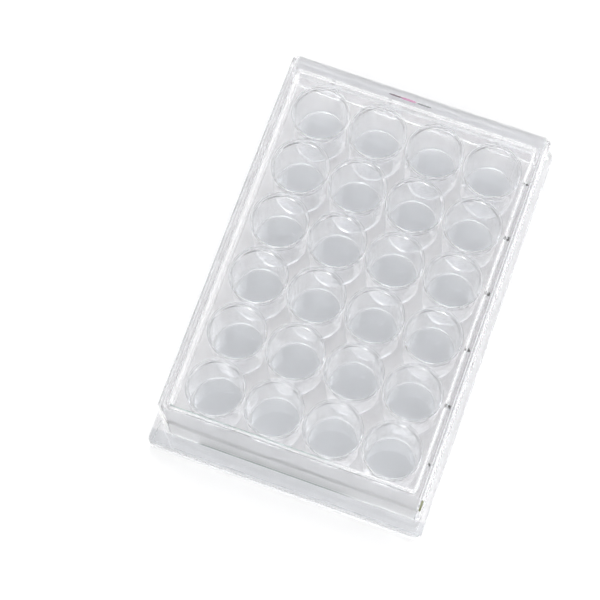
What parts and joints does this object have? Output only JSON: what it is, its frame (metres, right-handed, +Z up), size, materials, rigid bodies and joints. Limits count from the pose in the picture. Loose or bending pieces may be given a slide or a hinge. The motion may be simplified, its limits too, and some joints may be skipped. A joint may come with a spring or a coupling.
{
  "type": "well plate",
  "caption": "Clear rectangular cell-culture plate with a grid of round flat-bottomed wells, a stepped foot flange, one cut corner and a loose clear lid.",
  "frame": {"origin": "centre of the footprint, on the surface the plate stands on", "axes": "+Z up; +Y along the long side, towards the row of wells numbered 1; +X along the short side, towards the column of wells lettered A"},
  "size_m": [0.0854, 0.1278, 0.024],
  "materials": {
    "base_polystyrene": "clear moulded polystyrene, glossy, with faint flow lines and a slight grey tint in the wells",
    "lid_polystyrene": "clear moulded polystyrene, glossy, a little clearer than the base"
  },
  "bodies": {
    "root": {"well_plate": "base_polystyrene", "lid": "lid_polystyrene"}
  },
  "joints": []
}
